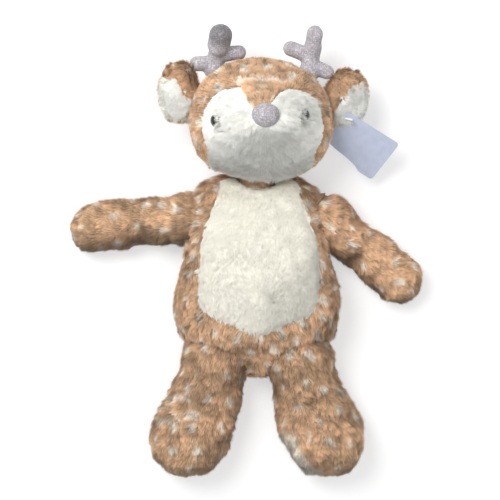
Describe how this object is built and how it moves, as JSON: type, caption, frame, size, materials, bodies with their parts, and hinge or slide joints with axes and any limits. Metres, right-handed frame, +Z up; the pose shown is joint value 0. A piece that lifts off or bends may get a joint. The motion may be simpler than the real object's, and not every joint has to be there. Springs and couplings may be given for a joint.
{
  "type": "plush deer",
  "caption": "Jointed soft toy deer that lies on its back: body, head, arms, legs, ears and antlers are separate stuffed pieces on their own seam joints, with a bare hang tag.",
  "frame": {"origin": "middle of the flat patch on which the back rests, on the floor", "axes": "+X towards the deer's left hand, +Y from the seat to the head, +Z up from the floor through the belly"},
  "size_m": [0.3074, 0.3931, 0.1244],
  "materials": {
    "brown_plush": "long pile with cream spots",
    "cream_plush": "long pile",
    "lilac_knit": "short metallic knit",
    "fibre_fill": "loose polyester fibre",
    "black_gloss": "polished",
    "nylon": "satin",
    "tag_card": "coated, bare"
  },
  "bodies": {
    "torso": {"body_cover": "brown_plush", "belly_panel": "cream_plush", "body_stuffing": "fibre_fill"},
    "neck": {"neck_hem": "brown_plush"},
    "head": {"head_cover": "brown_plush", "forehead_blaze": "brown_plush", "face_panel": "cream_plush", "head_stuffing": "fibre_fill", "nose_cover": "lilac_knit", "nose_stuffing": "fibre_fill", "eye_right": "black_gloss", "eye_left": "black_gloss", "eye_washer_right": "nylon", "eye_washer_left": "nylon"},
    "ear_right": {"ear_right_back": "brown_plush", "ear_right_lining": "cream_plush"},
    "ear_left": {"ear_left_back": "brown_plush", "ear_left_lining": "cream_plush", "tag_loop": "nylon"},
    "antler_right": {"antler_right_cover": "lilac_knit", "antler_right_stuffing": "fibre_fill"},
    "antler_left": {"antler_left_cover": "lilac_knit", "antler_left_stuffing": "fibre_fill"},
    "tag": {"hang_tag": "tag_card"},
    "shoulder_right": {"shoulder_right_hem": "brown_plush"},
    "shoulder_left": {"shoulder_left_hem": "brown_plush"},
    "arm_right": {"arm_right_cover": "brown_plush", "arm_right_stuffing": "fibre_fill"},
    "arm_left": {"arm_left_cover": "brown_plush", "arm_left_stuffing": "fibre_fill"},
    "hip_right": {"hip_right_hem": "brown_plush"},
    "hip_left": {"hip_left_hem": "brown_plush"},
    "leg_right": {"leg_right_cover": "brown_plush", "leg_right_stuffing": "fibre_fill"},
    "leg_left": {"leg_left_cover": "brown_plush", "leg_left_stuffing": "fibre_fill"}
  },
  "joints": [
    {"name": "neck_turn", "type": "hinge", "parent": "torso", "child": "neck", "pos_m": [0.001, 0.0905, 0.028], "axis": [0, 1, 0], "range_deg": [-25, 18]},
    {"name": "head_nod", "type": "hinge", "parent": "neck", "child": "head", "pos_m": [0.001, 0.0905, 0.028], "axis": [1, 0, 0], "range_deg": [-25, 6]},
    {"name": "shoulder_right_swing", "type": "hinge", "parent": "torso", "child": "shoulder_right", "pos_m": [-0.061, 0.057, 0.022], "axis": [0, 0, 1], "range_deg": [-40, 30]},
    {"name": "arm_right_lift", "type": "hinge", "parent": "shoulder_right", "child": "arm_right", "pos_m": [-0.061, 0.057, 0.022], "axis": [-0.0349, 0.9994, 0], "range_deg": [-15, 36]},
    {"name": "shoulder_left_swing", "type": "hinge", "parent": "torso", "child": "shoulder_left", "pos_m": [0.061, 0.057, 0.022], "axis": [0, 0, 1], "range_deg": [-2, 50]},
    {"name": "arm_left_lift", "type": "hinge", "parent": "shoulder_left", "child": "arm_left", "pos_m": [0.061, 0.057, 0.022], "axis": [-0.6018, -0.7986, 0], "range_deg": [-15, 20]},
    {"name": "hip_right_spread", "type": "hinge", "parent": "torso", "child": "hip_right", "pos_m": [-0.037, -0.064, 0.0285], "axis": [0, 0, 1], "range_deg": [-30, 4]},
    {"name": "leg_right_lift", "type": "hinge", "parent": "hip_right", "child": "leg_right", "pos_m": [-0.037, -0.064, 0.0285], "axis": [-0.9613, 0.2756, 0], "range_deg": [-5, 60]},
    {"name": "hip_left_spread", "type": "hinge", "parent": "torso", "child": "hip_left", "pos_m": [0.037, -0.064, 0.0285], "axis": [0, 0, 1], "range_deg": [-4, 30]},
    {"name": "leg_left_lift", "type": "hinge", "parent": "hip_left", "child": "leg_left", "pos_m": [0.037, -0.064, 0.0285], "axis": [-0.9613, -0.2756, 0], "range_deg": [-5, 60]},
    {"name": "ear_right_fold", "type": "hinge", "parent": "head", "child": "ear_right", "pos_m": [-0.05562, 0.15438, 0.0434], "axis": [0.4125, 0.9107, -0.021], "range_deg": [-40, 0]},
    {"name": "ear_left_fold", "type": "hinge", "parent": "head", "child": "ear_left", "pos_m": [0.06195, 0.15152, 0.03725], "axis": [0.2854, -0.9583, -0.0155], "range_deg": [-25, 15]},
    {"name": "antler_right_bend", "type": "hinge", "parent": "head", "child": "antler_right", "pos_m": [-0.03727, 0.18805, 0.04213], "axis": [0.9828, -0.1531, -0.1036], "range_deg": [-15, 8]},
    {"name": "antler_left_bend", "type": "hinge", "parent": "head", "child": "antler_left", "pos_m": [0.04525, 0.18602, 0.03784], "axis": [0.9901, -0.1286, -0.0555], "range_deg": [-15, 15]},
    {"name": "tag_swing", "type": "hinge", "parent": "ear_left", "child": "tag", "pos_m": [0.07964, 0.14395, 0.04385], "axis": [0, 0, 1], "range_deg": [0, 45]}
  ]
}
